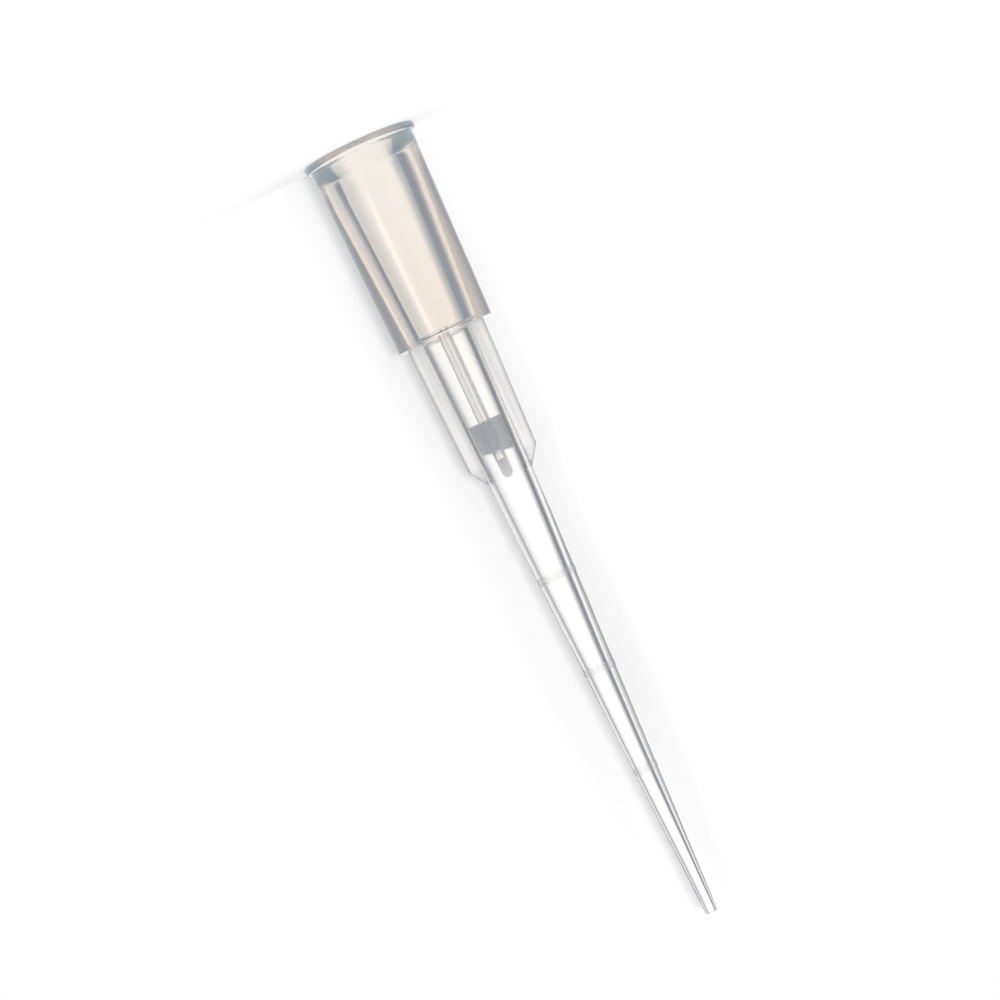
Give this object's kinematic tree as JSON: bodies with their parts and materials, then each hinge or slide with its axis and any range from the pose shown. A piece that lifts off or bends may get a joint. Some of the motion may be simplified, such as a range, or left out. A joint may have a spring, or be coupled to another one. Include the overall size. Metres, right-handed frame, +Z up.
{
  "type": "pipette tip",
  "caption": "Slim graduated filter pipette tip: flanged socket collar on stiffening ribs, porous plug in the bore, long tapered clear shaft.",
  "frame": {"origin": "centre of the open mouth's rim, on the plane the tip stands on", "axes": "+Z up the axis from the mouth to the dispensing end; one pair of ribs lies along X, the other along Y"},
  "size_m": [0.006, 0.006, 0.0425],
  "materials": {
    "natural_polypropylene": "undyed polypropylene, hazy where thick and clear where thin",
    "porous_polyethylene": "sintered grains, open-pored and matt"
  },
  "bodies": {
    "root": {"tip_body": "natural_polypropylene", "filter_plug": "porous_polyethylene"}
  },
  "joints": []
}
